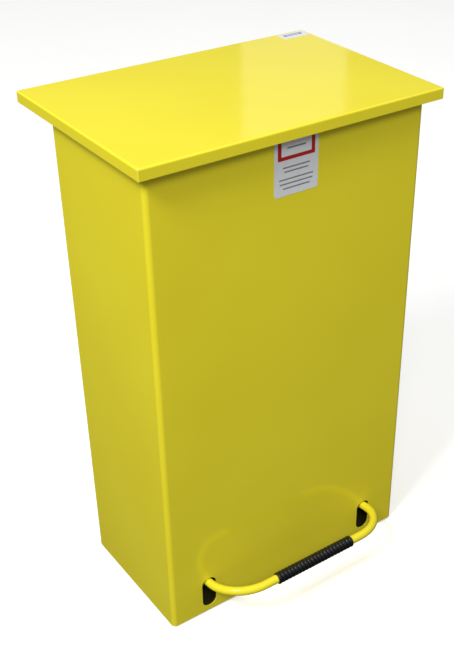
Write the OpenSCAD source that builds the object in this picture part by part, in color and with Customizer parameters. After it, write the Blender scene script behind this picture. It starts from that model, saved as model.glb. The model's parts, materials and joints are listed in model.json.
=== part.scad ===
// Pedal bin: folded sheet-steel body with a hinged lid that a pedal bar opens
// through a shaft, a lever and a lift rod behind the back panel.
// +X is to the right and -Y is the front. The origin is on the floor, under the
// middle of the bin's overall width and depth.

/* [Body] */
// Outside width of the body
body_w = 387; // [340:1:470]
// Outside depth of the body, from the front panel to the back edge
body_d = 203; // [185:1:260]
// Height of the body's rim above the floor
rim_z = 669; // [500:1:820]
// Thickness of the sheet that the body and the lid are folded from
sheet = 1.2; // [0.8:0.1:1.6]
// Outside radius of the body's two upright bends
body_bend = 6.5; // [4:0.5:12]
// Width of the flange folded in around the rim
rim_fold = 12; // [10:1:18]
// Width of the upright flanges that the back panel is riveted to
back_fold = 15; // [12:1:20]
// Height of the body's lower edge above the floor
ground_gap = 2; // [1:0.5:3]

/* [Lid] */
// How far the lid reaches past each side of the body
lid_side = 14; // [8:1:30]
// How far the lid reaches past the front panel
lid_front = 17; // [8:1:35]
// How far the lid reaches past the back edge
lid_rear = 60; // [58:1:80]
// Depth of the lid's folded lip, from its top face to its lower edge
lid_lip = 14; // [10:1:17]
// Outside radius of the fold between the lid's top and its lip
lid_bend = 2.5; // [2:0.5:5]
// Radius of the lid's welded corners
lid_corner = 1; // [0.5:0.5:3]
// Space between the rim and the underside of the lid
lid_gap = 4.8; // [3:0.1:8]
// How far the lid opens, in degrees
lid_open = 65; // [50:1:75]
// Height of the hat channel that stiffens the lid
stiffener_h = 8; // [5:1:14]

/* [Pedal] */
// Diameter of the pedal bar
bar_d = 12; // [10:0.5:14]
// Distance from the middle of the bin to the centre line of each leg
leg_x = 135; // [100:1:148]
// How far the middle of the bar stands out from the front panel
pedal_reach = 57.8; // [50:0.1:90]
// Centre-line radius of the bar's two bends
pedal_bend = 54; // [30:1:56]
// Slope of the bar at rest, in degrees
pedal_tilt = 10.9; // [8:0.1:13]
// How far the pedal turns when it is pressed right down, in degrees
pedal_travel = 16.5; // [12:0.5:17]
// Width of the slots in the front panel
slot_w = 22; // [18:1:30]
// Space between the bar and each end of its slot
slot_clear = 1.4; // [0.5:0.1:3]
// Diameter of the rubber sleeve
sleeve_d = 16.4; // [14:0.2:20]
// Length of the rubber sleeve
sleeve_len = 128; // [60:1:150]
// Number of ribs on the sleeve
rib_count = 23; // [8:1:40]
// Depth of the grooves between the ribs
groove_depth = 0.9; // [0.3:0.1:1.5]

/* [Mechanism] */
// Distance from the body's rear face forward to the pedal's pivot
pivot_inset = 81.5; // [70:0.5:95]
// Height of the pedal's pivot above the floor
pivot_z = 30; // [29:0.5:34]
// Diameter of the pedal's cross shaft
shaft_d = 14; // [12:1:18]
// Diameter of the shaft's two ends, where they turn
journal_d = 10; // [8:1:11]
// Thickness of the brackets that carry the shaft and the hinge
bracket_t = 3; // [2:0.5:4]
// Thickness of the lid's lugs and of the rod guides
lug_t = 2.5; // [2:0.5:4]
// Thickness of the pedal's rear lever
lever_t = 5; // [4:0.5:8]
// Diameter of the lift rod
rod_d = 8; // [6:1:10]
// Diameter of the pin at the foot of the rod
clevis_pin_d = 6; // [5:0.5:7]
// Diameter of the pin at the head of the rod
lever_pin_d = 8; // [6:1:9]
// Diameter of the hinge pin
hinge_pin_d = 8; // [6:1:10]
// Distance from the back edge of the body to the hinge axis
hinge_setback = 46; // [44:1:50]
// Depth of the hinge axis below the rim
hinge_drop = 13; // [12:1:16]
// Half of the distance between the hinge brackets' inner faces
hinge_half = 105; // [80:1:120]
// Clearance between the pedal slots and the wall of the raised floor above them
floor_rise = 4.3; // [3:0.1:40]
// Radial clearance of everything that turns or slides in a bush
running_fit = 0.05; // [0.02:0.01:0.1]

/* [Sack ring and labels] */
// Diameter of the ring's wire
ring_wire = 6; // [4:0.5:8]
// Corner radius of the ring, at the wire's centre line
ring_corner = 25; // [15:1:50]
// Depth of the ring's centre line below the rim
ring_drop = 23; // [18:1:40]
// Width of the label on the front panel
label_w = 62; // [30:1:90]
// Height of the label on the front panel
label_h = 76; // [30:1:90]
// Thickness of the label and of the lid's sticker
label_t = 0.25; // [0.2:0.05:0.5]

/* [Hidden] */
$fn = 64;

PAINT = "#E3D32A";
RUBBER = "#1B1C20";
ZINC = "#B4B8BC";
NYLON = "#E8E6DE";
SPRING_STEEL = "#3C3E42";
PAPER = "#EEF0F2";

// Margin by which a cutting shape reaches past the face that it cuts
eps = 1;
// Gap between parts that rest on each other but belong to different bodies
rest_gap = 0.2;
// Gap between the edges of two sheets that meet
seam_gap = 0.3;

// Places along Y, from the front to the back
overall_d = pedal_reach + sleeve_d / 2 + body_d + lid_rear;
front_y = pedal_reach + sleeve_d / 2 - overall_d / 2;
rear_y = front_y + body_d;
panel_y = rear_y + sheet;
lid_front_y = front_y - lid_front;
lid_rear_y = rear_y + lid_rear;
lid_mid_y = (lid_front_y + lid_rear_y) / 2;
body_mid_y = (front_y + rear_y) / 2;
pivot_setback = body_d - pivot_inset;
pivot_y = front_y + pivot_setback;
hinge_y = rear_y + hinge_setback;

// Heights
hinge_z = rim_z - hinge_drop;
lid_under = rim_z + lid_gap;
lid_top = lid_under + sheet;
base_under = 2 * ground_gap;
base_top = base_under + sheet;
base_wall = 16;
floor_wall = 12;

// Linkage. The pedal lever and the lid lever each swing as far below the level as
// above it, and one lift of the rod serves both.
pedal_half = pedal_travel / 2;
lid_half = lid_open / 2;
lever_share = tan(pedal_half) / sin(lid_half);
pin_share = (1 + cos(lid_half)) / 2;
pedal_arm = (hinge_y - pivot_y) / (1 + pin_share * lever_share);
rod_y = pivot_y + pedal_arm;
lift = 2 * pedal_arm * tan(pedal_half);
lid_arm = lift / (2 * sin(lid_half));
lid_play = lid_arm * (1 - cos(lid_half));
clevis_z = pivot_z - lift / 2;
head_z = hinge_z - lift / 2;
lid_pin_y = hinge_y - lid_arm * cos(lid_half);

// Pedal bar and its slots
bar_len = (pivot_setback + pedal_reach) / cos(pedal_tilt);
press_tilt = pedal_tilt - pedal_travel;
leg_rise = bar_d / 2 / cos(pedal_tilt);
slot_top = pivot_z + pivot_setback * tan(pedal_tilt) + leg_rise + slot_clear;
slot_foot = pivot_z + pivot_setback * tan(press_tilt) - leg_rise - slot_clear;
floor_z = slot_top + floor_rise + floor_wall - sheet;

// Pivot brackets and bushes
pivot_half = 160;
bush_wall = 2;
bush_flange = 1.5;
pivot_bush_r = journal_d / 2 + running_fit + bush_wall;

// Small hardware
rivet_r = 2;
rivet_head_r = 4;
rivet_head_h = 1.4;
rivet_tail_r = 3;
rivet_tail_h = 1.2;
screw_head_r = 4;
screw_head_h = 2.2;
screw_len = 9;
clip_t = 1;
clip_wall = 2.5;

// ---- Shapes used by several parts ----

// Round bar along X, centred
module bar_x(d, len) {
    rotate([0, 90, 0]) cylinder(d = d, h = len, center = true);
}

// Outline in Y and Z, thickened along X from x0
module plate_yz(x0, t) {
    translate([x0, 0, 0]) rotate([90, 0, 90]) linear_extrude(t) children();
}

// Outline in X and Z, thickened along +Y from y0
module plate_xz(y0, t) {
    translate([0, y0 + t, 0]) rotate([90, 0, 0]) linear_extrude(t) children();
}

// The same part on both sides of the bin
module both_sides() {
    children();
    mirror([1, 0, 0]) children();
}

// Rectangle with four round corners, centred
module round_rect(w, h, r) {
    square([w - 2 * r, h], center = true);
    square([w, h - 2 * r], center = true);
    for (x = [-1, 1], y = [-1, 1]) translate([x * (w / 2 - r), y * (h / 2 - r)]) circle(r);
}

// Slot with round ends, length along its own X, centred
module slot(len, w) {
    square([len - w, w], center = true);
    for (x = [-1, 1]) translate([x * (len - w) / 2, 0]) circle(d = w);
}

// Sheet bent into a U seen from above: open at y_open, two bends of radius r at y_shut
module bent_plan(half_w, y_open, y_shut, r) {
    way = sign(y_open - y_shut);
    depth = abs(y_open - y_shut);
    translate([-half_w, min(y_shut + way * r, y_open)]) square([2 * half_w, depth - r]);
    translate([r - half_w, min(y_shut, y_open)]) square([2 * (half_w - r), depth]);
    for (x = [-1, 1]) translate([x * (half_w - r), y_shut + way * r]) circle(r);
}

// Plan of the body, set in from its outer face
module body_plan(inset, y_open) {
    bent_plan(body_w / 2 - inset, y_open, front_y + inset, body_bend - inset);
}

// Folded tray that fits inside the body: a sheet at z with a wall of the given
// height, which stands up from the sheet or, if it is negative, hangs down from it
module body_tray(z, wall) {
    back = rear_y - sheet;
    translate([0, 0, z]) linear_extrude(sheet) body_plan(sheet, back);
    translate([0, 0, wall > 0 ? z : z + sheet + wall]) linear_extrude(abs(wall)) difference() {
        body_plan(sheet, back);
        body_plan(2 * sheet, back - sheet);
    }
}

// Low dome on the plane z = 0
module dome(r, h) {
    ball = (r * r + h * h) / (2 * h);
    intersection() {
        translate([0, 0, h - ball]) sphere(ball);
        cylinder(r = r, h = h);
    }
}

// Blind rivet with its head on the plane z = 0 and its tail under a grip
module rivet(grip) {
    dome(rivet_head_r, rivet_head_h);
    translate([0, 0, -grip - rivet_tail_h]) cylinder(r = rivet_tail_r, h = rivet_tail_h);
    translate([0, 0, -grip]) cylinder(r = rivet_r, h = grip);
}

// Hole for a rivet or a screw that stands on z = 0
module fixing_hole() {
    cylinder(r = rivet_r, h = 4 * bracket_t, center = true);
}

// Pan-head screw with a crossed recess, head on the plane z = 0
module screw() {
    difference() {
        dome(screw_head_r, screw_head_h);
        for (turn = [0, 90]) rotate([0, 0, turn]) translate([0, 0, screw_head_h])
            cube([4, 0.9, 2.4], center = true);
    }
    translate([0, 0, -screw_len]) cylinder(r = rivet_r, h = screw_len);
}

// Places on the outside of the back panel, where Z of the part points backwards
module on_back(x, z, y = panel_y) {
    translate([x, y, z]) rotate([-90, 0, 0]) children();
}

// Flanged bush along X: its flange starts at x and points to the middle of the bin
module flanged_bush(x, bore_r, wall, length, flange_t) {
    translate([x, 0, 0]) rotate([0, 90, 0]) difference() {
        union() {
            cylinder(r = bore_r + wall, h = length);
            translate([0, 0, -flange_t]) cylinder(r = bore_r + wall + 3, h = flange_t);
        }
        translate([0, 0, -flange_t - eps]) cylinder(r = bore_r, h = length + flange_t + 2 * eps);
    }
}

// Open spring clip on a pin along X, starting at x
module clip(x, pin_d) {
    plate_yz(x, clip_t) difference() {
        circle(pin_d / 2 + clip_wall);
        circle(pin_d / 2);
        translate([-pin_d / 3, -pin_d]) square([2 * pin_d / 3, pin_d]);
    }
}

// ---- Body ----

back_rivets_n = 6;
back_rivet_x = body_w / 2 - sheet - (back_fold - sheet) / 2;
back_rivet_zs = [for (i = [0 : back_rivets_n - 1])
    45 + i * (rim_z - 90) / (back_rivets_n - 1)];

module leg_slots() {
    mid = (slot_top + slot_foot) / 2;
    both_sides() plate_xz(front_y - eps, sheet + 2 * eps)
        translate([leg_x, mid]) rotate(90) slot(slot_top - slot_foot, slot_w);
}

module body_wrap() color(PAINT) {
    fold_x = body_w / 2 - rim_fold;
    difference() {
        translate([0, 0, ground_gap]) linear_extrude(rim_z - ground_gap) body_plan(0, rear_y);
        // the hollow under the rim
        linear_extrude(rim_z - sheet) body_plan(sheet, rear_y + eps);
        // the mouth
        translate([-fold_x, front_y + rim_fold, 0]) cube([2 * fold_x, body_d, rim_z + eps]);
        // the back panel's own fold takes the last stretch of the rim
        translate([sheet - body_w / 2, rear_y - rim_fold - seam_gap, rim_z - sheet - eps])
            cube([body_w - 2 * sheet, body_d, sheet + 2 * eps]);
        leg_slots();
    }
    // flanges that the back panel is riveted to
    both_sides() difference() {
        translate([body_w / 2 - back_fold, rear_y - sheet, ground_gap])
            cube([back_fold - sheet, sheet, rim_z - sheet - seam_gap - ground_gap]);
        for (z = back_rivet_zs) on_back(back_rivet_x, z) fixing_hole();
    }
}

lever_door_w = 44;
lever_door_z = [7, 62];

module back_panel() color(PAINT) {
    fold_half = body_w / 2 - sheet - seam_gap;
    difference() {
        translate([seam_gap - body_w / 2, rear_y, ground_gap])
            cube([body_w - 2 * seam_gap, sheet, rim_z - ground_gap]);
        // doorway for the pedal's rear lever
        translate([-lever_door_w / 2, rear_y - eps, lever_door_z[0]])
            cube([lever_door_w, sheet + 2 * eps, lever_door_z[1] - lever_door_z[0]]);
        both_sides() {
            for (z = back_rivet_zs) on_back(back_rivet_x, z) fixing_hole();
            for (z = cover_screw_zs) on_back(cover_screw_x, z) fixing_hole();
            for (z = hinge_rivet_zs) on_back(hinge_rivet_x, z) fixing_hole();
            for (z = guide_zs) on_back(guide_rivet_x, z - guide_foot / 2) fixing_hole();
        }
    }
    translate([-fold_half, rear_y - rim_fold, rim_z - sheet])
        cube([2 * fold_half, rim_fold, sheet]);
}

module back_rivets() color(PAINT) both_sides()
    for (z = back_rivet_zs) on_back(back_rivet_x, z) rivet(2 * sheet);

foot_r = 11;
foot_inset = 26;
stem_r = 4;
stop_setback = 45;

module stem_places() {
    both_sides() for (y = [front_y + foot_inset, rear_y - foot_inset])
        translate([body_w / 2 - foot_inset, y, 0]) children();
}

module stop_places() {
    both_sides() translate([leg_x, front_y + stop_setback, 0]) children();
}

module base_pan() color(PAINT) difference() {
    body_tray(base_under, base_wall);
    stem_places() cylinder(r = stem_r, h = base_top + eps);
    stop_places() cylinder(r = stem_r, h = base_top + eps);
    bracket_rivet_places() fixing_hole();
    // the pedal's legs and its rear lever pass over lowered stretches of the wall
    both_sides() translate([leg_x - slot_w / 2 - 4, front_y, base_top])
        cube([slot_w + 8, 3 * sheet, base_wall]);
    translate([-lever_door_w / 2, rear_y - 3 * sheet, base_top])
        cube([lever_door_w, 3 * sheet, base_wall]);
}

module floor_pan() color(PAINT) body_tray(floor_z - sheet, -floor_wall);

module feet() color(RUBBER) stem_places() {
    cylinder(r = foot_r, h = base_under);
    cylinder(r = stem_r, h = base_top);
    translate([0, 0, base_top]) dome(stem_r + 1.2, 2.5);
}

stop_r = 9;
// The pressed leg is lowest over the front edge of its stop
stop_top = pivot_z + (pivot_setback - stop_setback + stop_r) * tan(press_tilt)
    - bar_d / 2 / cos(press_tilt) - rest_gap;

module pedal_stops() color(RUBBER) stop_places() {
    translate([0, 0, base_top]) cylinder(r = stop_r, h = stop_top - base_top);
    translate([0, 0, base_under]) cylinder(r = stem_r, h = sheet);
    translate([0, 0, base_under]) mirror([0, 0, 1]) dome(stem_r + 1.2, 2);
}

module front_label() color(PAPER) plate_xz(front_y - label_t, label_t)
    translate([3, rim_z - 5 - label_h / 2]) round_rect(label_w, label_h, 5);

// ---- Sack ring ----

ring_gap = 3.5;
ring_half_x = body_w / 2 - rim_fold - ring_gap - ring_wire / 2;
ring_half_y = body_d / 2 - rim_fold - ring_gap - ring_wire / 2;
ring_z = rim_z - ring_drop;

module sack_ring() color(ZINC) translate([0, body_mid_y, ring_z]) {
    run_x = ring_half_x - ring_corner;
    run_y = ring_half_y - ring_corner;
    for (s = [-1, 1]) {
        translate([0, s * ring_half_y, 0]) bar_x(ring_wire, 2 * run_x);
        translate([s * ring_half_x, 0, 0]) rotate([0, 0, 90]) bar_x(ring_wire, 2 * run_y);
    }
    for (turn = [0, 180], s = [-1, 1]) rotate([0, 0, turn])
        translate([run_x, s * run_y, 0]) rotate([0, 0, s > 0 ? 0 : -90])
            rotate_extrude(angle = 90) translate([ring_corner, 0]) circle(d = ring_wire);
}

ring_shelf = 22;

module ring_brackets() color(PAINT) both_sides() {
    wall_x = body_w / 2 - sheet;
    top = ring_z - ring_wire / 2 - rest_gap / 2;
    shelf = wall_x - ring_half_x + ring_wire / 2 + 3;
    for (y = [-1, 1]) translate([0, body_mid_y + y * body_d / 4, 0]) {
        translate([wall_x - shelf, -ring_shelf / 2, top - sheet]) cube([shelf, ring_shelf, sheet]);
        translate([wall_x - sheet, -ring_shelf / 2, top - 20]) cube([sheet, ring_shelf, 20]);
    }
}

// ---- Pedal pivot ----

module bracket_rivet_places() {
    both_sides() for (y = [-13, 13])
        translate([pivot_half + bracket_t + 11, pivot_y + y, base_top + bracket_t]) children();
}

module pivot_bracket() difference() {
    union() {
        plate_yz(pivot_half, bracket_t) {
            translate([pivot_y, pivot_z]) circle(pivot_bush_r + 5);
            translate([pivot_y, base_top]) polygon([
                [-20, 0], [20, 0], [20, 4],
                [pivot_bush_r + 5, pivot_z - base_top], [-pivot_bush_r - 5, pivot_z - base_top], [-20, 4]
            ]);
        }
        translate([pivot_half, pivot_y - 20, base_top]) cube([22, 40, bracket_t]);
    }
    translate([pivot_half, pivot_y, pivot_z]) bar_x(2 * pivot_bush_r, 4 * bracket_t);
    bracket_rivet_places() fixing_hole();
}

module pivot_bracket_right() color(ZINC) pivot_bracket();

module pivot_bracket_left() color(ZINC) mirror([1, 0, 0]) pivot_bracket();

module pivot_bushes() color(NYLON) both_sides() translate([0, pivot_y, pivot_z])
    flanged_bush(pivot_half, journal_d / 2 + running_fit, bush_wall, bracket_t + 2, bush_flange);

module bracket_rivets() color(ZINC) bracket_rivet_places() rivet(bracket_t + sheet);

// ---- Pedal ----

module pedal_frame() {
    translate([0, pivot_y, pivot_z]) rotate([-pedal_tilt, 0, 0]) children();
}

module pedal_bar() color(PAINT) pedal_frame() difference() {
    union() {
        for (s = [-1, 1]) {
            translate([s * leg_x, 0, 0]) rotate([90, 0, 0])
                cylinder(d = bar_d, h = bar_len - pedal_bend);
            translate([s * (leg_x - pedal_bend), pedal_bend - bar_len, 0])
                rotate([0, 0, s > 0 ? -90 : 180]) rotate_extrude(angle = 90)
                    translate([pedal_bend, 0]) circle(d = bar_d);
        }
        translate([0, -bar_len, 0]) bar_x(bar_d, 2 * (leg_x - pedal_bend));
    }
    // the legs are coped to sit on the shaft
    bar_x(shaft_d, 2 * (leg_x + bar_d));
}

// Half outline of the sleeve: radius against distance along the bar
rib_pitch = sleeve_len / rib_count;
rib_outline = [for (i = [0 : rib_count - 1]) each [
    [sleeve_d / 2, (i + 0.14) * rib_pitch],
    [sleeve_d / 2, (i + 0.68) * rib_pitch],
    [sleeve_d / 2 - groove_depth, (i + 0.8) * rib_pitch],
    [sleeve_d / 2 - groove_depth, (i + (i < rib_count - 1 ? 1.02 : 1)) * rib_pitch]
]];

module pedal_sleeve() color(RUBBER) pedal_frame()
    translate([-sleeve_len / 2, -bar_len, 0]) rotate([0, 90, 0]) rotate_extrude()
        polygon(concat([[bar_d / 2, 0], [sleeve_d / 2 - groove_depth, 0]], rib_outline,
            [[bar_d / 2, sleeve_len]]));

module pedal_shaft() color(ZINC) translate([0, pivot_y, pivot_z]) {
    bar_x(shaft_d, 2 * (pivot_half - bush_flange - rest_gap));
    bar_x(journal_d, 2 * (pivot_half + bracket_t + 6));
}

lever_eye_r = 7;
lever_slack = 0.2;

module pedal_lever() color(ZINC) translate([0, pivot_y, pivot_z]) rotate([-pedal_half, 0, 0]) {
    far = pedal_arm / cos(pedal_half);
    hub_r = shaft_d / 2 + 5;
    difference() {
        union() {
            bar_x(2 * hub_r, lever_t);
            translate([0, far, 0]) bar_x(2 * lever_eye_r, lever_t);
            plate_yz(-lever_t / 2, lever_t)
                polygon([[0, hub_r - 1.5], [far, lever_eye_r], [far, -lever_eye_r], [0, 1.5 - hub_r]]);
        }
        bar_x(shaft_d, 2 * lever_t);
        plate_yz(-lever_t, 2 * lever_t) translate([(far + pedal_arm) / 2, 0])
            slot(far - pedal_arm + clevis_pin_d + 4 * lever_slack, clevis_pin_d + 2 * lever_slack);
    }
}

// ---- Lift rod ----

cheek_t = 3;
clevis_half = lever_t / 2 + 0.5;
clevis_web = 11;
head_t = 6;
head_h = 22;
head_slack = 0.5;

module lift_rod() color(ZINC) translate([0, rod_y, clevis_z + clevis_web + cheek_t])
    cylinder(d = rod_d, h = head_z - head_h / 2 - clevis_z - clevis_web - cheek_t);

module rod_clevis() color(ZINC) translate([0, rod_y, clevis_z]) {
    difference() {
        both_sides() plate_yz(clevis_half, cheek_t) {
            circle(8);
            translate([-8, 0]) square([16, clevis_web + cheek_t]);
        }
        bar_x(clevis_pin_d, 4 * (clevis_half + cheek_t));
    }
    translate([-clevis_half, -8, clevis_web]) cube([2 * clevis_half, 16, cheek_t]);
}

module clevis_pin() color(ZINC) translate([0, rod_y, clevis_z])
    bar_x(clevis_pin_d, 2 * (clevis_half + cheek_t + 3));

module clevis_clips() color(SPRING_STEEL) translate([0, rod_y, clevis_z])
    both_sides() clip(clevis_half + cheek_t, clevis_pin_d);

module rod_head() color(ZINC) plate_yz(-head_t / 2, head_t) translate([rod_y, head_z]) difference() {
    round_rect(lid_play + lever_pin_d + 14, head_h, 4);
    slot(lid_play + lever_pin_d + 2 * head_slack, lever_pin_d + 2 * head_slack);
}

guide_zs = [100, rim_z - 94];
guide_half = 18;
guide_foot = 24;
guide_rivet_x = 11;
guide_bush_r = rod_d / 2 + running_fit + bush_wall;

module rod_guide(z) difference() {
    translate([-guide_half, panel_y, 0]) {
        translate([0, 0, z - lug_t]) cube([2 * guide_half, rod_y + 13 - panel_y, lug_t]);
        translate([0, 0, z - guide_foot]) cube([2 * guide_half, lug_t, guide_foot]);
    }
    translate([0, rod_y, z - lug_t - eps]) cylinder(r = guide_bush_r, h = lug_t + 2 * eps);
    both_sides() on_back(guide_rivet_x, z - guide_foot / 2) fixing_hole();
}

module rod_guide_lower() color(ZINC) rod_guide(guide_zs[0]);

module rod_guide_upper() color(ZINC) rod_guide(guide_zs[1]);

module guide_bushes() color(NYLON) for (z = guide_zs) translate([0, rod_y, z]) difference() {
    union() {
        cylinder(r = guide_bush_r + 3, h = bush_flange);
        translate([0, 0, -lug_t - 3]) cylinder(r = guide_bush_r, h = lug_t + 3);
    }
    translate([0, 0, -lug_t - 3 - eps])
        cylinder(r = rod_d / 2 + running_fit, h = lug_t + 3 + bush_flange + 2 * eps);
}

module guide_rivets() color(ZINC) both_sides() for (z = guide_zs)
    on_back(guide_rivet_x, z - guide_foot / 2, panel_y + lug_t) rivet(lug_t + sheet);

// ---- Hinge ----

hinge_bush_r = hinge_pin_d / 2 + running_fit + bush_wall;
lug_gap = 2.5;
lug_x = hinge_half - lug_gap - lug_t;
hinge_foot = 15;
hinge_rivet_x = hinge_half - hinge_foot / 2;
hinge_rivet_zs = [hinge_z - 44, hinge_z - 18];

module hinge_bracket() difference() {
    union() {
        plate_yz(hinge_half, bracket_t) {
            translate([hinge_y, hinge_z]) circle(10);
            polygon([
                [panel_y, hinge_z - 56], [hinge_y + 8, hinge_z - 6],
                [hinge_y, hinge_z + 10], [panel_y, hinge_z - 6]
            ]);
        }
        translate([hinge_half - hinge_foot, panel_y, hinge_z - 56])
            cube([hinge_foot, bracket_t, 50]);
    }
    translate([hinge_half, hinge_y, hinge_z]) bar_x(hinge_pin_d, 4 * bracket_t);
    for (z = hinge_rivet_zs) on_back(hinge_rivet_x, z) fixing_hole();
}

module hinge_bracket_right() color(PAINT) hinge_bracket();

module hinge_bracket_left() color(PAINT) mirror([1, 0, 0]) hinge_bracket();

module hinge_rivets() color(PAINT) both_sides() for (z = hinge_rivet_zs)
    on_back(hinge_rivet_x, z, panel_y + bracket_t) rivet(bracket_t + sheet);

module hinge_pin() color(ZINC) translate([0, hinge_y, hinge_z])
    bar_x(hinge_pin_d, 2 * (hinge_half + bracket_t + 4));

module hinge_clips() color(SPRING_STEEL) translate([0, hinge_y, hinge_z])
    both_sides() clip(hinge_half + bracket_t, hinge_pin_d);

// ---- Mechanism cover ----

cover_half = hinge_half + 10;
cover_foot_z = 8;
cover_top_z = hinge_z - 12;
cover_back_y = hinge_y + 4;
cover_bend = 4;
cover_flange = 15;
cover_screw_x = cover_half + cover_flange / 2;
cover_screws_n = 5;
cover_screw_zs = [for (i = [0 : cover_screws_n - 1])
    cover_foot_z + 20 + i * (cover_top_z - cover_foot_z - 40) / (cover_screws_n - 1)];

module mechanism_cover() color(PAINT) difference() {
    translate([0, 0, cover_foot_z]) linear_extrude(cover_top_z - cover_foot_z) {
        difference() {
            bent_plan(cover_half, panel_y, cover_back_y, cover_bend);
            bent_plan(cover_half - sheet, panel_y - eps, cover_back_y - sheet, cover_bend - sheet);
        }
        for (x = [-cover_half - cover_flange, cover_half - sheet])
            translate([x, panel_y]) square([cover_flange + sheet, sheet]);
    }
    both_sides() for (z = cover_screw_zs) on_back(cover_screw_x, z) fixing_hole();
}

module cover_screws() color(ZINC) both_sides() for (z = cover_screw_zs)
    on_back(cover_screw_x, z, panel_y + sheet) screw();

// ---- Lid ----

// Rectangle from z0 up to z1 with two round top corners, centred on its own X
module rounded_top(w, z0, z1, r) {
    translate([-w / 2, z0]) square([w, z1 - z0 - r]);
    translate([r - w / 2, z0]) square([w - 2 * r, z1 - z0]);
    for (x = [-1, 1]) translate([x * (w / 2 - r), z1 - r]) circle(r);
}

// Block in the shape of the lid, set in on every side, down to z0
module lid_block(inset, z0) {
    w = body_w + 2 * lid_side - 2 * inset;
    d = lid_rear_y - lid_front_y - 2 * inset;
    top = lid_top - inset;
    fold = lid_bend - inset;
    intersection() {
        plate_xz(lid_front_y + inset, d) rounded_top(w, z0, top, fold);
        plate_yz(-w / 2, w) translate([lid_mid_y, 0]) rounded_top(d, z0, top, fold);
        translate([0, lid_mid_y, z0]) linear_extrude(top - z0)
            round_rect(w, d, max(lid_corner - inset, 0.2));
    }
}

module lid_shell() color(PAINT) difference() {
    lid_block(0, lid_top - lid_lip);
    lid_block(sheet, lid_top - lid_lip - eps);
}

module lid_stiffener() color(PAINT) {
    half = body_w / 2 - rim_fold - 16;
    h = stiffener_h;
    plate_yz(-half, 2 * half) translate([body_mid_y - 10, lid_under]) polygon([
        [-32, 0], [-18, 0], [-12, sheet - h], [12, sheet - h], [18, 0], [32, 0],
        [32, -sheet], [18 - sheet / 2, -sheet], [12 + sheet / 2, -h],
        [-12 - sheet / 2, -h], [sheet / 2 - 18, -sheet], [-32, -sheet]
    ]);
}

module lid_lug() difference() {
    union() {
        plate_yz(lug_x, lug_t) {
            translate([hinge_y, hinge_z]) circle(9);
            translate([hinge_y, 0]) polygon([
                [-9, hinge_z], [9, hinge_z], [9, lid_under], [-22, lid_under]
            ]);
        }
        translate([lug_x - 20, hinge_y - 22, lid_under - lug_t]) cube([20, 31, lug_t]);
    }
    translate([lug_x, hinge_y, hinge_z]) bar_x(2 * hinge_bush_r, 6 * lug_t);
}

module lid_lug_right() color(PAINT) lid_lug();

module lid_lug_left() color(PAINT) mirror([1, 0, 0]) lid_lug();

// The flange of each bush runs against the inner face of its bracket
module hinge_bushes() color(NYLON) both_sides() translate([2 * lug_x + lug_t, hinge_y, hinge_z])
    mirror([1, 0, 0]) flanged_bush(lug_x, hinge_pin_d / 2 + running_fit, bush_wall,
        lug_t + 1, lug_gap - rest_gap);

lid_cheek_half = head_t / 2 + 1;

module lid_lever() color(PAINT) {
    eye_r = lever_pin_d / 2 + 5;
    difference() {
        both_sides() plate_yz(lid_cheek_half, cheek_t) {
            translate([lid_pin_y, head_z]) circle(eye_r);
            polygon([
                [lid_pin_y - eye_r, head_z], [lid_pin_y + eye_r, head_z],
                [hinge_y - 11, lid_under], [lid_pin_y - eye_r - 5, lid_under]
            ]);
        }
        translate([0, lid_pin_y, head_z]) bar_x(lever_pin_d, 4 * (lid_cheek_half + cheek_t));
    }
    translate([-lid_cheek_half, lid_pin_y - eye_r - 5, lid_under - cheek_t])
        cube([2 * lid_cheek_half, hinge_y - 11 - lid_pin_y + eye_r + 5, cheek_t]);
}

module lever_pin() color(ZINC) translate([0, lid_pin_y, head_z])
    bar_x(lever_pin_d, 2 * (lid_cheek_half + cheek_t + 4));

module lever_clips() color(SPRING_STEEL) translate([0, lid_pin_y, head_z])
    both_sides() clip(lid_cheek_half + cheek_t, lever_pin_d);

module lid_buffers() color(RUBBER) both_sides() for (y = [front_y + 30, rear_y - 30])
    translate([body_w / 2 - rim_fold / 2, y, rim_z + rest_gap])
        cylinder(r = rim_fold / 2 - 1.5, h = lid_gap - rest_gap);

module lid_sticker() color(PAPER) {
    w = 40;
    d = 21;
    edge = 4;
    translate([body_w / 2 + lid_side - edge - w / 2, lid_rear_y - edge - d / 2, lid_top])
        linear_extrude(label_t) round_rect(w, d, 3);
}

body_wrap();
back_panel();
base_pan();
floor_pan();
feet();
sack_ring();
ring_brackets();
pivot_bracket_left();
pivot_bracket_right();
pivot_bushes();
bracket_rivets();
pedal_stops();
hinge_bracket_left();
hinge_bracket_right();
hinge_rivets();
hinge_pin();
hinge_clips();
rod_guide_upper();
rod_guide_lower();
guide_bushes();
guide_rivets();
mechanism_cover();
cover_screws();
back_rivets();
front_label();
pedal_bar();
pedal_sleeve();
pedal_shaft();
pedal_lever();
lift_rod();
rod_clevis();
clevis_pin();
clevis_clips();
rod_head();
lid_shell();
lid_stiffener();
lid_lug_left();
lid_lug_right();
hinge_bushes();
lid_lever();
lever_pin();
lever_clips();
lid_buffers();
lid_sticker();
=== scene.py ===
"""Ward pedal bin: finished surfaces for the folded-sheet body and lid, the bent pedal bar
with its ribbed sleeve, the fixings, the labels and the studio round them."""

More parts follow.
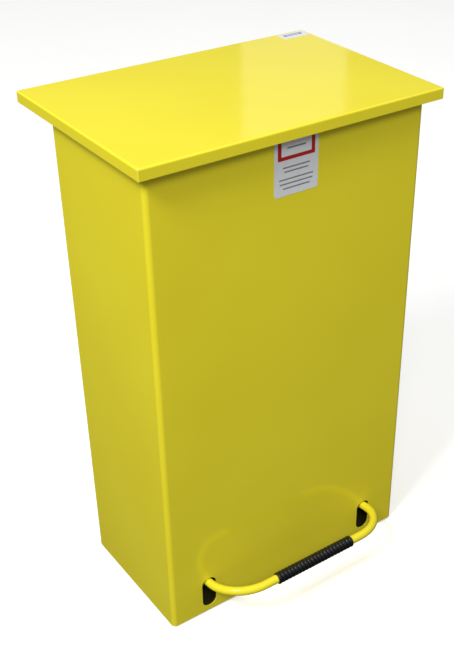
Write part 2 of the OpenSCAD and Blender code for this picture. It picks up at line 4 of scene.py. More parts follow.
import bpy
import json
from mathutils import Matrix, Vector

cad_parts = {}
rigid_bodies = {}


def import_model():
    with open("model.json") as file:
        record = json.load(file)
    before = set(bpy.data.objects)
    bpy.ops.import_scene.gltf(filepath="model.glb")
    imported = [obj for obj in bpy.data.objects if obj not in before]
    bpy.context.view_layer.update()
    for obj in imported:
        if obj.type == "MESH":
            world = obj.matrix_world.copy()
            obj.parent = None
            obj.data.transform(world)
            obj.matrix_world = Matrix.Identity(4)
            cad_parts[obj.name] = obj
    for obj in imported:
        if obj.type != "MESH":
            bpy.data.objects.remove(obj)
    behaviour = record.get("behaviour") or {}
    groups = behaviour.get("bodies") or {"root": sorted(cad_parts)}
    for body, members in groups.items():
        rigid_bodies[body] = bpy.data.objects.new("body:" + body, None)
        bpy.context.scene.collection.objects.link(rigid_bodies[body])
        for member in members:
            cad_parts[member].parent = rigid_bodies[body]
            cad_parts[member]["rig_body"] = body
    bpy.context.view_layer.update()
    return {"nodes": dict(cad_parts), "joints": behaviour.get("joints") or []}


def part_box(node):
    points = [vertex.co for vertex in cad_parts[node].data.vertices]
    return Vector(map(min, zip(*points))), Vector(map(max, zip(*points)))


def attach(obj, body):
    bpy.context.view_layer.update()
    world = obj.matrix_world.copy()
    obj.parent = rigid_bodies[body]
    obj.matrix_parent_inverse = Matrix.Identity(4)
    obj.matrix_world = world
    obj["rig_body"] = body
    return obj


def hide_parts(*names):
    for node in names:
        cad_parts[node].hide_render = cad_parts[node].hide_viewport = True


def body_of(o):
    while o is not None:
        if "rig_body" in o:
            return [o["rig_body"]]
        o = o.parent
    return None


bl_info = {
    "name": "Ward Pedal Bin",
    "version": (1, 0, 0),
    "blender": (4, 5, 0),
    "location": "3D View > Sidebar > Pedal Bin",
    "description": "Finishes a sheet-steel pedal bin around its packed parts",
    "category": "Add Mesh",
}

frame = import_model()

import json
import math

import bmesh
import bpy
from bpy.props import (
    FloatProperty, FloatVectorProperty, IntProperty, PointerProperty,
)
from mathutils import Euler, Vector

NODES = frame["nodes"]
MM = 0.001
WELD = 1e-6  # points closer than this are one
COLOUR_A, COLOUR_B, COLOUR_OUT = 6, 7, 2  # a Mix node's colour sockets


def linear(code):
    """An sRGB hex colour as the linear red, green, blue and alpha that Blender works in."""
    values = [int(code[i:i + 2], 16) / 255 for i in (1, 3, 5)]
    return tuple(v / 12.92 if v <= 0.04045 else ((v + 0.055) / 1.055) ** 2.4
                 for v in values) + (1.0,)


def joint_place(name):
    """Where a joint's axis lies."""
    return Vector(next(j["pos_m"] for j in frame["joints"] if j["name"] == name))


def middle(node):
    """The centre of a part's box."""
    low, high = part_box(node)
    return (low + high) / 2


# ---- Sizes and colours ----

class PaintSettings(bpy.types.PropertyGroup):
    """The powder coat on the body, the lid and the pedal bar."""
    colour: FloatVectorProperty(
        name="Paint", description="Sulphur yellow of the powder coat",
        subtype="COLOR", size=4, min=0, max=1, default=linear("#F0E333"))
    deep_colour: FloatVectorProperty(
        name="Thin paint", description="Yellow where the coat is a little thinner",
        subtype="COLOR", size=4, min=0, max=1, default=linear("#ECDD2E"))
    # Painted highlight as well as wear: this pale colour at the lid's corners stands in for
    # bare steel and for a glint there
    chipped_glint_colour: FloatVectorProperty(
        name="Chip", description="Pale pretreated steel where the coat is knocked off",
        subtype="COLOR", size=4, min=0, max=1, default=linear("#CFCCA6"))
    # Painted shade: a dark colour laid on the closed bay round the pedal, standing in for the
    # shadow inside it
    bay_shade_colour: FloatVectorProperty(
        name="Bay", description="Dark primer in the closed bay round the pedal",
        subtype="COLOR", size=4, min=0, max=1, default=linear("#3A3820"))
    roughness: FloatProperty(
        name="Roughness", description="How blurred the coat's reflections are",
        default=0.08, min=0, max=1, subtype="FACTOR")
    peel: FloatProperty(
        name="Orange peel", description="Distance between the coat's low waves",
        default=7 * MM, unit="LENGTH")
    chip_and_glint: FloatProperty(
        name="Corner wear", description="How far a chip reaches from a lid corner",
        default=3.2 * MM, unit="LENGTH")


class SheetSettings(bpy.types.PropertyGroup):
    """The folded sheet."""
    edge: FloatProperty(
        name="Edge", description="Rounding of a cut edge under its paint",
        default=0.45 * MM, unit="LENGTH")
    fold: FloatProperty(
        name="Fold angle", description="Edges sharper than this are rounded",
        default=math.radians(32), subtype="ANGLE")


class PedalSettings(bpy.types.PropertyGroup):
    """The pedal bar and its sleeve."""
    bar: FloatProperty(
        name="Bar", description="Diameter of the round bar", default=12 * MM, unit="LENGTH")
    bend: FloatProperty(
        name="Bend", description="Radius of the bar's two bends",
        default=54 * MM, unit="LENGTH")
    ribs: IntProperty(
        name="Ribs", description="Number of ribs on the sleeve", default=23, min=1)
    groove: FloatProperty(
        name="Groove", description="Depth of the grooves between ribs",
        default=1.6 * MM, unit="LENGTH")
    rubber: FloatVectorProperty(
        name="Rubber", description="Black of the sleeve and the feet",
        subtype="COLOR", size=4, min=0, max=1, default=linear("#0B0C0F"))


class FixingSettings(bpy.types.PropertyGroup):
    """The blind rivets."""
    head: FloatProperty(
        name="Head", description="Radius of a rivet's head", default=4 * MM, unit="LENGTH")
    rise: FloatProperty(
        name="Rise", description="Height of a rivet's head",
        default=1.4 * MM, unit="LENGTH")
    shank: FloatProperty(
        name="Shank", description="Radius of a rivet's shank",
        default=2 * MM, unit="LENGTH")
    tail: FloatProperty(
        name="Tail", description="Radius of a rivet's set tail",
        default=3 * MM, unit="LENGTH")
    tail_height: FloatProperty(
        name="Tail height", description="Height of a rivet's set tail",
        default=1.2 * MM, unit="LENGTH")


class LabelSettings(bpy.types.PropertyGroup):
    """The blank label on the front and the sticker on the lid."""
    film: FloatVectorProperty(
        name="Film", description="White of the label film",
        subtype="COLOR", size=4, min=0, max=1, default=linear("#E4E6EA"))
    band: FloatVectorProperty(
        name="Band", description="Red of the label's plain frame",
        subtype="COLOR", size=4, min=0, max=1, default=linear("#B8221B"))
    rule: FloatVectorProperty(
        name="Rule", description="Grey of the label's ruled lines",
        subtype="COLOR", size=4, min=0, max=1, default=linear("#83868C"))
    corner: FloatProperty(
        name="Corner", description="Radius of the label's corners",
        default=3.5 * MM, unit="LENGTH")


class StudioSettings(bpy.types.PropertyGroup):
    """Camera and lights."""
    lens: FloatProperty(
        name="Lens", description="Focal length in millimetres",
        default=59.51, min=1, subtype="DISTANCE_CAMERA")
    sensor: FloatProperty(
        name="Frame", description="Longer side of the camera's frame in millimetres",
        default=36, min=1)
    shift: FloatVectorProperty(
        name="Shift", description="Lens shift, as shares of the frame's longer side",
        size=2, default=(-0.0848, 0.0669))
    place: FloatVectorProperty(
        name="Camera", description="Where the camera stands",
        subtype="TRANSLATION", unit="LENGTH", default=(-0.6902, -1.0101, 1.1116))
    turn: FloatVectorProperty(
        name="Aim", description="How the camera is turned", subtype="EULER",
        default=tuple(math.radians(a) for a in (55.994, -0.383, -36.3286)))
    sky: FloatProperty(
        name="Ceiling", description="Strength of the light from right above",
        default=0.66, min=0)
    walls: FloatProperty(
        name="Walls", description="Strength of the light from the walls",
        default=0.31, min=0)
    dim: FloatProperty(
        name="Low light", description="Strength of the light from below",
        default=0.17, min=0)
    mirrored_walls: FloatProperty(
        name="Mirrored walls", description="How bright the walls look in the gloss",
        default=0.2, min=0)
    mirrored_floor: FloatProperty(
        name="Mirrored floor", description="How bright the ground looks in the gloss",
        default=0.06, min=0)
    key: FloatProperty(
        name="Key light", description="Power of the soft box high on the left",
        default=59, min=0, unit="POWER")
    fill: FloatProperty(
        name="Fill light", description="Power of the soft box high in front",
        default=31, min=0, unit="POWER")
    window: FloatProperty(
        name="Window", description="Power of the pane that the lid mirrors",
        default=1, min=0, unit="POWER")
    floor: FloatVectorProperty(
        name="Floor", description="Pale floor",
        subtype="COLOR", size=4, min=0, max=1, default=linear("#FBFBFA"))


class PedalBinSettings(bpy.types.PropertyGroup):
    """All sizes and colours of the bin."""
    paint: PointerProperty(type=PaintSettings)
    sheet: PointerProperty(type=SheetSettings)
    pedal: PointerProperty(type=PedalSettings)
    fixing: PointerProperty(type=FixingSettings)
    label: PointerProperty(type=LabelSettings)
    studio: PointerProperty(type=StudioSettings)


# ---- Node trees ----

def add(tree, kind, inputs=None, **settings):
    """Adds a node. Each input is a value, a socket or a node, whose first output counts."""
    node = tree.nodes.new(kind)
    for key, value in settings.items():
        setattr(node, key, value)
    for key, value in (inputs or {}).items():
        if isinstance(value, bpy.types.Node):
            value = value.outputs[0]
        if isinstance(value, bpy.types.NodeSocket):
            tree.links.new(value, node.inputs[key])
        else:
            node.inputs[key].default_value = value
    return node


def new_material(name):
    """An empty material with its tree, its principled shader and Object coordinates."""
    material = bpy.data.materials.new(name)
    material.use_nodes = True
    tree = material.node_tree
    tree.nodes.clear()
    shader = add(tree, "ShaderNodeBsdfPrincipled")
    add(tree, "ShaderNodeOutputMaterial", {"Surface": shader.outputs["BSDF"]})
    place = add(tree, "ShaderNodeTexCoord").outputs["Object"]
    return material, tree, shader, place


def noise_between(tree, place, size, low, high, detail=2.0):
    """A noise with features of the given size, spread from low to high."""
    noise = add(tree, "ShaderNodeTexNoise",
                {"Vector": place, "Scale": 1 / size, "Detail": detail})
    return add(tree, "ShaderNodeMapRange", {
        "Value": noise.outputs["Fac"], "From Min": 0.3, "From Max": 0.7,
        "To Min": low, "To Max": high}).outputs["Result"]


def drifting(tree, place, size, first, second, share=1.0, detail=2.0):
    """A colour that drifts from one towards another in patches of the given size."""
    return add(tree, "ShaderNodeMix", {
        "Factor": noise_between(tree, place, size, 0.0, share, detail),
        COLOUR_A: first, COLOUR_B: second}, data_type="RGBA").outputs[COLOUR_OUT]


# Polyester powder coat on steel, sprayed and stoved: a hard gloss with a faint orange peel
# and now and then a nib, so reflections are clear but their edges waver and fade.
# In the closed bay round the pedal a dark colour is painted on as shade.
def powder_coat(name, settings, corners=(), bay=None):
    """Sulphur yellow powder coat, with pale chipped corners that also paint a glint, and
    painted shade in the bay.
    """
    material, tree, shader, place = new_material(name)
    # Drifts of 180 mm, as the gun's passes leave them
    colour = drifting(tree, place, 180 * MM, tuple(settings.colour),
                      tuple(settings.deep_colour))
    rough = noise_between(tree, place, 45 * MM, settings.roughness - 0.02,
                          settings.roughness + 0.03)
    peel = noise_between(tree, place, settings.peel, 0.0, 1.0, detail=1.0)
    # One nib in a 38 mm cell, drawn 0.9 mm wide so that it shows
    nib_cell = 38 * MM
    nibs = add(tree, "ShaderNodeTexVoronoi", {
        "Vector": place, "Scale": 1 / nib_cell, "Randomness": 1.0})
    nib = add(tree, "ShaderNodeMapRange", {
        "Value": nibs.outputs["Distance"], "From Min": 0.0, "From Max": 0.45 * MM / nib_cell,
        "To Min": 3.0, "To Max": 0.0})
    # Painted highlight as well as wear: pale patches round the lid's corners, pale enough to
    # stand in for a glint
    if corners:
        near = None
        for corner in corners:
            away = add(tree, "ShaderNodeVectorMath", {0: place, 1: tuple(corner)},
                       operation="DISTANCE").outputs["Value"]
            near = away if near is None else add(
                tree, "ShaderNodeMath", {0: near, 1: away}, operation="MINIMUM")
        ragged = noise_between(tree, place, 1.6 * MM, 0.25, 1.0, detail=4.0)
        reach = add(tree, "ShaderNodeMath", {0: ragged, 1: settings.chip_and_glint},
                    operation="MULTIPLY")
        chip_and_glint = add(tree, "ShaderNodeMath", {0: near, 1: reach}, operation="LESS_THAN")
        colour = add(tree, "ShaderNodeMix", {
            "Factor": chip_and_glint, COLOUR_A: colour, COLOUR_B: tuple(settings.chipped_glint_colour)},
            data_type="RGBA").outputs[COLOUR_OUT]
        bare = add(tree, "ShaderNodeMath", {0: chip_and_glint, 1: 0.45}, operation="MULTIPLY")
        rough = add(tree, "ShaderNodeMath", {0: rough, 1: bare},
                    operation="MAXIMUM").outputs[0]
    # Painted shade: the dark colour fills the box of the closed bay round the pedal
    if bay:
        low, high = bay
        centre, half = (low + high) / 2, (high - low) / 2
        centred = add(tree, "ShaderNodeMapping", {
            "Vector": place, "Location": tuple(-centre)})
        axes = add(tree, "ShaderNodeSeparateXYZ", {"Vector": centred}).outputs
        inside = add(tree, "ShaderNodeMath", {
            0: in_box(tree, axes["X"], axes["Y"], half.x, half.y),
            1: in_box(tree, axes["Z"], axes["Z"], half.z, half.z)}, operation="MULTIPLY")
        colour = add(tree, "ShaderNodeMix", {
            "Factor": inside, COLOUR_A: colour, COLOUR_B: tuple(settings.bay_shade_colour)},
            data_type="RGBA").outputs[COLOUR_OUT]
    tree.links.new(colour, shader.inputs["Base Color"])
    tree.links.new(rough, shader.inputs["Roughness"])
    shader.inputs["IOR"].default_value = 1.5
    height = add(tree, "ShaderNodeMath", {0: peel, 1: nib}, operation="ADD")
    bump = add(tree, "ShaderNodeBump", {
        "Height": height, "Distance": 0.012 * MM, "Strength": 1.0})
    tree.links.new(bump.outputs["Normal"], shader.inputs["Normal"])
    return material


# Electroplated zinc, passivated: a greyish satin metal with cloudy patches.
def zinc_plate(name):
    """Passivated zinc plate on turned and cut steel."""
    material, tree, shader, place = new_material(name)
    colour = drifting(tree, place, 14 * MM, linear("#C2C5C4"), linear("#A9AEB3"), detail=4.0)
    tree.links.new(colour, shader.inputs["Base Color"])
    tree.links.new(noise_between(tree, place, 6 * MM, 0.28, 0.42), shader.inputs["Roughness"])
    shader.inputs["Metallic"].default_value = 1.0
    # Drawing and turning lines, 0.7 mm apart so that they show
    bump = add(tree, "ShaderNodeBump", {
        "Height": noise_between(tree, place, 0.7 * MM, 0.0, 1.0), "Distance": 0.01 * MM,
        "Strength": 1.0})
    tree.links.new(bump.outputs["Normal"], shader.inputs["Normal"])
    return material


# Hardened spring steel, blued by its temper: dark, with a satin shine.
def spring_steel(name):
    """Tempered clips."""
    material, tree, shader, place = new_material(name)
    colour = drifting(tree, place, 5 * MM, linear("#55585E"), linear("#3B3F4A"))
    tree.links.new(colour, shader.inputs["Base Color"])
    tree.links.new(noise_between(tree, place, 3 * MM, 0.25, 0.4), shader.inputs["Roughness"])
    shader.inputs["Metallic"].default_value = 1.0
    return material


# Black synthetic rubber, extruded or moulded: soft satin sheen, slightly grey where rubbed.
def rubber(name, black):
    """Black rubber."""
    material, tree, shader, place = new_material(name)
    worn = tuple(1.5 * c for c in black[:3]) + (1.0,)
    colour = drifting(tree, place, 9 * MM, tuple(black), worn, detail=3.0)
    tree.links.new(colour, shader.inputs["Base Color"])
    tree.links.new(noise_between(tree, place, 4 * MM, 0.3, 0.42), shader.inputs["Roughness"])
    shader.inputs["IOR"].default_value = 1.52
    # Fine grain of the mould, 1 mm so that it shows
    bump = add(tree, "ShaderNodeBump", {
        "Height": noise_between(tree, place, 1.0 * MM, 0.0, 1.0), "Distance": 0.03 * MM,
        "Strength": 1.0})
    tree.links.new(bump.outputs["Normal"], shader.inputs["Normal"])
    return material


# Natural polyamide 6, injection moulded: a milky white with a dull satin skin.
def nylon(name):
    """Natural nylon bushes."""
    material, tree, shader, place = new_material(name)
    colour = drifting(tree, place, 8 * MM, linear("#E8E5DA"), linear("#DDD8C8"))
    tree.links.new(colour, shader.inputs["Base Color"])
    tree.links.new(noise_between(tree, place, 3 * MM, 0.4, 0.5), shader.inputs["Roughness"])
    shader.inputs["IOR"].default_value = 1.53
    shader.inputs["Subsurface Weight"].default_value = 0.1
    shader.inputs["Subsurface Scale"].default_value = 1 * MM
    return material


def in_box(tree, across, up, half_w, half_h, soft=0.15 * MM):
    """1 inside a rectangle centred on the pattern and 0 outside, with a soft edge."""
    inside = []
    for way, half in ((across, half_w), (up, half_h)):
        away = add(tree, "ShaderNodeMath", {0: way}, operation="ABSOLUTE")
        inside.append(add(tree, "ShaderNodeMapRange", {
            "Value": away, "From Min": half - soft, "From Max": half + soft,
            "To Min": 1.0, "To Max": 0.0}))
    return add(tree, "ShaderNodeMath", {0: inside[0], 1: inside[1]}, operation="MULTIPLY")


# Self-adhesive white vinyl, screen printed: smooth film with a soft shine.
def printed_film(name, settings, centre, flat_axis, marks):
    """White film. Each mark is its place across and up, its half sizes and its ink."""
    material, tree, shader, place = new_material(name)
    centred = add(tree, "ShaderNodeMapping", {
        "Vector": place, "Location": tuple(-c for c in centre)}).outputs["Vector"]
    axes = add(tree, "ShaderNodeSeparateXYZ", {"Vector": centred})
    x = axes.outputs["X"]
    y = axes.outputs["Z" if flat_axis == "Y" else "Y"]
    colour = drifting(tree, place, 20 * MM, tuple(settings.film), linear("#D2D5DB"),
                      share=0.25)
    for across, up, half_w, half_h, ink in marks:
        beside, above = (
            add(tree, "ShaderNodeMath", {0: way, 1: start}, operation="SUBTRACT").outputs[0]
            for way, start in ((x, across), (y, up)))
        colour = add(tree, "ShaderNodeMix", {
            "Factor": in_box(tree, beside, above, half_w, half_h),
            COLOUR_A: colour, COLOUR_B: ink}, data_type="RGBA").outputs[COLOUR_OUT]
    tree.links.new(colour, shader.inputs["Base Color"])
    tree.links.new(noise_between(tree, place, 12 * MM, 0.25, 0.35), shader.inputs["Roughness"])
    shader.inputs["IOR"].default_value = 1.53
    bump = add(tree, "ShaderNodeBump", {
        "Height": noise_between(tree, place, 5 * MM, 0.0, 1.0), "Distance": 0.02 * MM,
        "Strength": 1.0})
    tree.links.new(bump.outputs["Normal"], shader.inputs["Normal"])
    return material


# ---- Meshes ----

def link(name, mesh, material=None):
    """A new object in the scene for a mesh."""
    piece = bpy.data.objects.new(name, mesh)
    bpy.context.scene.collection.objects.link(piece)
    if material:
        mesh.materials.clear()
        mesh.materials.append(material)
    return piece


def finish_piece(piece, body, slot, *nodes):
    """Hangs a piece on its body and hides the parts that it stands for; the slot is not used.
    """
    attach(piece, body)
    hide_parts(*nodes)


def sheet_piece(node, material, slot="powder_coat"):
    """A merged copy of a sheet part whose cut edges are rounded and whose bends are smooth."""
    settings = bpy.context.scene.pedal_bin.sheet
    flat = math.radians(0.3)
    shape = bmesh.new()
    shape.from_mesh(NODES[node].data)
    bmesh.ops.remove_doubles(shape, verts=shape.verts, dist=WELD)
    bmesh.ops.dissolve_limit(shape, angle_limit=flat, verts=shape.verts,
                             edges=shape.edges, use_dissolve_boundaries=False)
    for face in shape.faces:
        face.smooth = True
    mesh = bpy.data.meshes.new(node)
    shape.to_mesh(mesh)
    shape.free()
    piece = link(node + "_finished", mesh, material)
    bevel = piece.modifiers.new("cut_edges", "BEVEL")
    bevel.width = settings.edge
    bevel.segments = 2
    bevel.limit_method = "ANGLE"
    bevel.angle_limit = settings.fold
    bevel.use_clamp_overlap = True
    weights = piece.modifiers.new("flat_faces", "WEIGHTED_NORMAL")
    weights.mode = "FACE_AREA"
    weights.weight = 50
    finish_piece(piece, body_of(NODES[node])[0], slot, node)
    return piece


def lone_boxes(node):
    """The box of each separate solid in a part."""
    shape = bmesh.new()
    shape.from_mesh(NODES[node].data)
    bmesh.ops.remove_doubles(shape, verts=shape.verts, dist=WELD)
    left = set(shape.verts)
    boxes = []
    while left:
        front = [left.pop()]
        found = []
        while front:
            vert = front.pop()
            found.append(vert.co.copy())
            near = [e.other_vert(vert) for e in vert.link_edges]
            front += [v for v in near if v in left]
            left.difference_update(near)
        boxes.append((Vector(map(min, zip(*found))), Vector(map(max, zip(*found)))))
    shape.free()
    return sorted(boxes, key=lambda b: tuple(b[0]))


def paths(name, points, edges=()):
    """A mesh of points, joined by edges if they are a path."""
    mesh = bpy.data.meshes.new(name)
    mesh.from_pydata([tuple(p) for p in points], list(edges), [])
    return mesh


def geometry_tree(name, sizes):
    """A Geometry Nodes tree with its Geometry sockets and one named input for each size."""
    tree = bpy.data.node_groups.new(name, "GeometryNodeTree")
    tree.interface.new_socket("Geometry", in_out="INPUT", socket_type="NodeSocketGeometry")
    for key, kind in sizes.items():
        tree.interface.new_socket(key, in_out="INPUT", socket_type="NodeSocket" + kind)
    tree.interface.new_socket("Geometry", in_out="OUTPUT", socket_type="NodeSocketGeometry")
    return tree, add(tree, "NodeGroupInput").outputs


def close_tree(tree, geometry, material):
    """Ends a tree in real, smooth geometry with its material."""
    smooth = add(tree, "GeometryNodeSetShadeSmooth", {"Geometry": geometry})
    real = add(tree, "GeometryNodeRealizeInstances", {"Geometry": smooth.outputs[0]})
    done = add(tree, "GeometryNodeSetMaterial", {
        "Geometry": real.outputs[0], "Material": material})
    add(tree, "NodeGroupOutput", {"Geometry": done.outputs[0]})


def run_tree(name, mesh, tree, values, material):
    """Runs a tree on a mesh and returns a plain object with the result."""
    seed = link(name + "_seed", mesh)
    modifier = seed.modifiers.new("nodes", "NODES")
    modifier.node_group = tree
    for item in tree.interface.items_tree:
        if item.in_out == "INPUT" and item.name in values:
            modifier[item.identifier] = values[item.name]
    graph = bpy.context.evaluated_depsgraph_get()
    result = bpy.data.meshes.new_from_object(seed.evaluated_get(graph))
    seed.modifiers.remove(modifier)
    bpy.data.objects.remove(seed)
    return link(name, result, material)


def edge_sharpened(piece, angle):
    """Keeps edges sharper than an angle crisp under smooth shading."""
    shape = bmesh.new()
    shape.from_mesh(piece.data)
    bmesh.ops.recalc_face_normals(shape, faces=shape.faces)
    for edge in shape.edges:
        edge.smooth = len(edge.link_faces) == 2 and edge.calc_face_angle() < angle
    shape.to_mesh(piece.data)
    shape.free()


MATERIALS = {}


# ---- Operators ----

class PEDALBIN_OT_finishes(bpy.types.Operator):
    """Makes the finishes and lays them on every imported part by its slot"""
    bl_idname = "pedalbin.finishes"
    bl_label = "Finishes"

    def execute(self, context):
        settings = context.scene.pedal_bin
        # The lid's top corners, where pale chipped patches also paint a glint
        low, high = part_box("lid_shell")
        corners = [(x, y, high.z) for x in (low.x, high.x) for y in (low.y, high.y)]
        low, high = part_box("body_wrap")
        # The painted shade of the bay begins under the sheets' outer skin and clear of the
        # body's bends
        skin, bend = 0.9 * MM, 8 * MM
        bay = (Vector((low.x + bend, low.y + skin, -MM)),
               Vector((high.x - bend, high.y - skin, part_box("floor_pan")[1].z - skin)))
        MATERIALS["powder_coat"] = powder_coat("yellow_powder_coat", settings.paint)
        MATERIALS["bay"] = powder_coat("yellow_powder_coat_bay_shade", settings.paint, bay=bay)
        MATERIALS["lid"] = powder_coat("yellow_powder_coat_lid", settings.paint, corners)
        MATERIALS["zinc_plate"] = zinc_plate("passivated_zinc_plate")
        MATERIALS["spring_steel"] = spring_steel("blued_spring_steel")
        MATERIALS["black_rubber"] = rubber("black_rubber", tuple(settings.pedal.rubber))
        MATERIALS["nylon"] = nylon("natural_nylon")
        for node in NODES.values():
            for place, cad in enumerate(node.data.materials):
                if cad.name in MATERIALS:
                    node.data.materials[place] = MATERIALS[cad.name]
        return {"FINISHED"}


class PEDALBIN_OT_body(bpy.types.Operator):
    """Finishes the folded sheets of the body"""
    bl_idname = "pedalbin.body"
    bl_label = "Body sheets"

    def execute(self, context):
        # These sheets carry the painted shade of the bay round the pedal
        for node in ("body_wrap", "back_panel", "base_pan", "floor_pan", "ring_brackets",
                     "hinge_bracket_left", "hinge_bracket_right", "mechanism_cover"):
            sheet_piece(node, MATERIALS["bay"])
        return {"FINISHED"}


class PEDALBIN_OT_lid(bpy.types.Operator):
    """Finishes the lid, its stiffener, its hinge lugs and its lever"""
    bl_idname = "pedalbin.lid"
    bl_label = "Lid"

    def execute(self, context):
        sheet_piece("lid_shell", MATERIALS["lid"])
        for node in ("lid_stiffener", "lid_lug_left", "lid_lug_right", "lid_lever"):
            sheet_piece(node, MATERIALS["powder_coat"])
        return {"FINISHED"}


class PEDALBIN_OT_pedal_bar(bpy.types.Operator):
    """Bends the pedal bar out of round bar"""
    bl_idname = "pedalbin.pedal_bar"
    bl_label = "Pedal bar"

    def execute(self, context):
        settings = context.scene.pedal_bin.pedal
        tree, sizes = geometry_tree("bent_bar", {"Bend radius": "Float", "Bar radius": "Float"})
        path = add(tree, "GeometryNodeMeshToCurve", {"Mesh": sizes["Geometry"]})
        bent = add(tree, "GeometryNodeFilletCurve", {
            "Curve": path.outputs[0], "Radius": sizes["Bend radius"], "Count": 20},
            mode="POLY")
        ring = add(tree, "GeometryNodeCurvePrimitiveCircle", {
            "Resolution": 28, "Radius": sizes["Bar radius"]})
        bar = add(tree, "GeometryNodeCurveToMesh", {
            "Curve": bent.outputs[0], "Profile Curve": ring.outputs[0], "Fill Caps": True})
        close_tree(tree, bar.outputs[0], MATERIALS["powder_coat"])

        pivot, grip = joint_place("pedal_pivot"), middle("pedal_sleeve")
        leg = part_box("pedal_bar")[1].x - settings.bar / 2
        shaft_low, shaft_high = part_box("pedal_shaft")
        way = Vector((0, grip.y - pivot.y, grip.z - pivot.z)).normalized()
        # The legs start inside the shaft, at this share of its radius, where they are welded
        sunk = 0.8
        start = pivot + way * sunk * (shaft_high.z - shaft_low.z) / 2
        points = [(-leg, start.y, start.z), (-leg, grip.y, grip.z),
                  (leg, grip.y, grip.z), (leg, start.y, start.z)]
        mesh = paths("bar_path", points, [(0, 1), (1, 2), (2, 3)])
        piece = run_tree("pedal_bar_finished", mesh, tree, {
            "Bend radius": settings.bend, "Bar radius": settings.bar / 2},
            MATERIALS["powder_coat"])
        edge_sharpened(piece, math.radians(40))
        finish_piece(piece, "pedal", "powder_coat", "pedal_bar")
        return {"FINISHED"}


class PEDALBIN_OT_pedal_sleeve(bpy.types.Operator):
    """Turns the ribbed rubber sleeve round the bar"""
    bl_idname = "pedalbin.pedal_sleeve"
    bl_label = "Pedal sleeve"

    def execute(self, context):
        settings = context.scene.pedal_bin.pedal
        steps_per_rib = 12
        groove_power = 4.0
        tree, sizes = geometry_tree("ribbed_sleeve", {
            "Ribs": "Int", "Rib radius": "Float", "Groove": "Float"})
        path = add(tree, "GeometryNodeMeshToCurve", {"Mesh": sizes["Geometry"]})
        steps = add(tree, "ShaderNodeMath", {0: sizes["Ribs"], 1: float(steps_per_rib)},
                    operation="MULTIPLY")
        count = add(tree, "ShaderNodeMath", {0: steps, 1: 1.0}, operation="ADD")
        fine = add(tree, "GeometryNodeResampleCurve", {
            "Curve": path.outputs[0], "Count": count})
        along = add(tree, "GeometryNodeSplineParameter").outputs["Factor"]
        rib = add(tree, "ShaderNodeMath", {0: along, 1: sizes["Ribs"]}, operation="MULTIPLY")
        phase = add(tree, "ShaderNodeMath", {0: rib}, operation="FRACT")
        # 0 in the middle of a rib, 1 in the middle of a groove
        doubled = add(tree, "ShaderNodeMath", {0: phase, 1: 2.0}, operation="MULTIPLY")
        centred = add(tree, "ShaderNodeMath", {0: doubled, 1: 1.0}, operation="SUBTRACT")
        off = add(tree, "ShaderNodeMath", {0: centred}, operation="ABSOLUTE")
        dip = add(tree, "ShaderNodeMath", {0: off, 1: groove_power}, operation="POWER")
        depth = add(tree, "ShaderNodeMath", {0: dip, 1: sizes["Groove"]},
                    operation="MULTIPLY")
        radius = add(tree, "ShaderNodeMath", {0: sizes["Rib radius"], 1: depth},
                     operation="SUBTRACT").outputs[0]
        ring = add(tree, "GeometryNodeCurvePrimitiveCircle", {"Resolution": 40, "Radius": 1.0})
        sleeve = add(tree, "GeometryNodeCurveToMesh", {
            "Curve": fine.outputs[0], "Profile Curve": ring.outputs[0],
            "Scale": radius, "Fill Caps": True})
        close_tree(tree, sleeve.outputs[0], MATERIALS["black_rubber"])

        low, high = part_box("pedal_sleeve")
        grip = (low + high) / 2
        mesh = paths("sleeve_path", [(low.x, grip.y, grip.z), (high.x, grip.y, grip.z)],
                     [(0, 1)])
        piece = run_tree("pedal_sleeve_finished", mesh, tree, {
            "Ribs": settings.ribs, "Rib radius": (high.y - low.y) / 2,
            "Groove": settings.groove}, MATERIALS["black_rubber"])
        edge_sharpened(piece, math.radians(60))
        finish_piece(piece, "pedal", "black_rubber", "pedal_sleeve")
        return {"FINISHED"}


